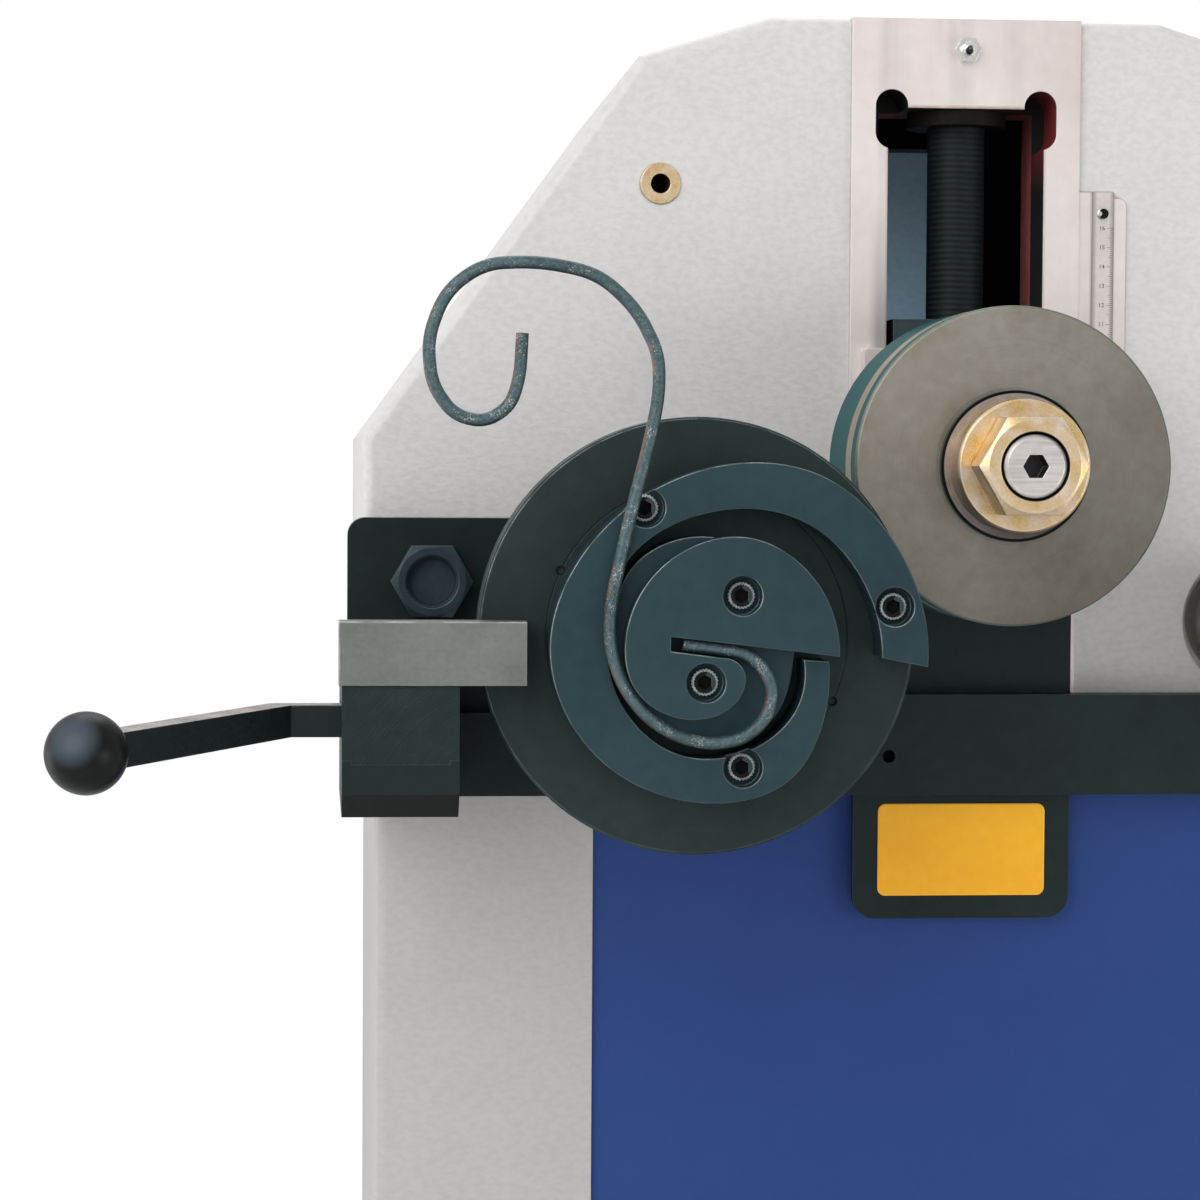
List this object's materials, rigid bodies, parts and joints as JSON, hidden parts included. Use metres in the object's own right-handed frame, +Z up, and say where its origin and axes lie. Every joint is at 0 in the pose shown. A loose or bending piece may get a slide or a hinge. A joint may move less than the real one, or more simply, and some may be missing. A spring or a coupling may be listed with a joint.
{
  "type": "ring roller",
  "caption": "Floor-standing ring roller: sheet pedestal, roll head with a screw-driven upper slide, geared lower shafts, a scroll former and a lever clamp holder.",
  "frame": {"origin": "centre of the base plate's underside in X, under the upper shaft's axis, on the floor", "axes": "+X to the right seen from the front, +Y to the back along the shafts, +Z up"},
  "size_m": [0.8022, 0.7433, 1.212],
  "materials": {
    "head_paint": "fine orange-peel paint, light warm grey",
    "pedestal_paint": "satin paint, mid grey",
    "blue_paint": "satin paint, dark blue",
    "ground_steel": "ground, bare",
    "bright_steel": "turned or milled, bare",
    "black_steel": "blackened steel, satin",
    "roll_steel": "turned, grey-brown",
    "zinc_yellow": "yellow-passivated zinc on steel",
    "bronze": "machined bronze",
    "black_paint": "satin black paint",
    "gear_steel": "hobbed, oiled",
    "gearbox_alloy": "cast, grey",
    "motor_paint": "painted, grey-blue",
    "knob_plastic": "gloss black",
    "box_plastic": "matte light grey",
    "green_button": "gloss green",
    "black_button": "gloss black",
    "red_button": "gloss red"
  },
  "bodies": {
    "frame": {"base_plate": "black_paint", "pedestal_side_left": "pedestal_paint", "pedestal_side_right": "pedestal_paint", "front_panel": "blue_paint", "rear_panel": "pedestal_paint", "frame_front": "pedestal_paint", "frame_rear": "pedestal_paint", "head_cover_left": "head_paint", "head_cover_right": "head_paint", "top_cover": "head_paint", "slide_frame": "ground_steel", "spindle_nut": "bronze", "grease_nipple": "zinc_yellow", "height_scale": "bright_steel", "threaded_inserts": "zinc_yellow", "guard_plate": "black_paint", "bearing_covers": "bright_steel", "lower_bearings": "bronze", "gearbox": "gearbox_alloy", "motor": "motor_paint", "bracket_plate": "black_paint", "bracket_studs": "black_steel", "bracket_nuts": "black_steel", "bracket_screws": "black_steel", "guide_rail": "black_steel", "carrier_block": "black_steel", "support_block": "black_steel", "lever_pin": "bright_steel", "switch_box": "box_plastic"},
    "upper_slide": {"carriage_block": "bright_steel", "keeper_plate": "ground_steel", "rear_slide_block": "bright_steel", "upper_bearings": "bronze", "thrust_cap": "bright_steel"},
    "upper_roll": {"upper_shaft": "bright_steel", "roll_flanges": "black_steel", "roll_middle": "roll_steel", "retaining_washer": "black_steel", "spacer_collar": "zinc_yellow", "upper_nut": "zinc_yellow"},
    "spindle": {"spindle": "bright_steel"},
    "scroll_former": {"lower_left_shaft": "bright_steel", "lower_left_gear": "gear_steel", "scroll_hub": "black_steel", "scroll_disc": "black_steel", "disc_pins": "bright_steel", "spiral_segment": "black_steel", "middle_plate": "black_steel", "centre_former": "black_steel", "former_screws": "black_steel"},
    "right_shaft": {"lower_right_shaft": "bright_steel", "lower_right_gear": "gear_steel"},
    "pinion": {"drive_pinion": "gear_steel"},
    "pressure_bar": {"pressure_bar": "bright_steel"},
    "lever": {"clamp_lever": "black_steel", "ball_knob": "knob_plastic"},
    "workpiece": {"scroll_bar": "bright_steel"},
    "button_forward": {"button_forward": "green_button"},
    "button_reverse": {"button_reverse": "black_button"},
    "button_stop": {"button_stop": "red_button"}
  },
  "joints": [
    {"name": "upper_slide_lift", "type": "slide", "parent": "frame", "child": "upper_slide", "axis": [0, 0, 1], "range_m": [-0.018, 0.1]},
    {"name": "upper_roll_spin", "type": "hinge", "parent": "upper_slide", "child": "upper_roll", "pos_m": [0, -0.2365, 0.981], "axis": [0, 1, 0], "continuous": true},
    {"name": "spindle_turn", "type": "hinge", "parent": "upper_slide", "child": "spindle", "pos_m": [0, -0.122, 1.081], "axis": [0, 0, 1], "range_deg": [-1100, 6100]},
    {"name": "scroll_former_spin", "type": "hinge", "parent": "frame", "child": "scroll_former", "pos_m": [-0.1565, -0.2365, 0.9], "axis": [0, -1, 0], "range_deg": [-150, 85]},
    {"name": "right_shaft_spin", "type": "hinge", "parent": "frame", "child": "right_shaft", "pos_m": [0.1565, -0.2365, 0.9], "axis": [0, -1, 0], "range_deg": [-151, 86]},
    {"name": "pinion_spin", "type": "hinge", "parent": "frame", "child": "pinion", "pos_m": [0, 0.12, 0.83357], "axis": [0, -1, 0], "range_deg": [-205, 361]},
    {"name": "lever_swing", "type": "hinge", "parent": "frame", "child": "lever", "pos_m": [-0.2964, -0.296, 0.8599], "axis": [0, 0, 1], "range_deg": [-40, 0]},
    {"name": "pressure_bar_slide", "type": "slide", "parent": "frame", "child": "pressure_bar", "axis": [1, 0, 0], "range_m": [-0.0125, 0]},
    {"name": "workpiece_lift_off", "type": "slide", "parent": "scroll_former", "child": "workpiece", "axis": [0, -1, 0], "range_m": [0, 0.06]},
    {"name": "button_forward_press", "type": "slide", "parent": "frame", "child": "button_forward", "axis": [0, 1, 0], "range_m": [0, 0.004], "stiffness_N_per_m": 400, "springref_m": -0.002},
    {"name": "button_reverse_press", "type": "slide", "parent": "frame", "child": "button_reverse", "axis": [0, 1, 0], "range_m": [0, 0.004], "stiffness_N_per_m": 400, "springref_m": -0.002},
    {"name": "button_stop_press", "type": "slide", "parent": "frame", "child": "button_stop", "axis": [0, 1, 0], "range_m": [0, 0.004], "stiffness_N_per_m": 400, "springref_m": -0.002}
  ],
  "couplings": [
    {"joint": "right_shaft_spin", "follows": "scroll_former_spin", "ratio": 1},
    {"joint": "pinion_spin", "follows": "scroll_former_spin", "ratio": -2.4},
    {"joint": "pressure_bar_slide", "follows": "lever_swing", "m_per_rad": 0.0175},
    {"joint": "spindle_turn", "follows": "upper_slide_lift", "rad_per_m": 1047.2}
  ]
}
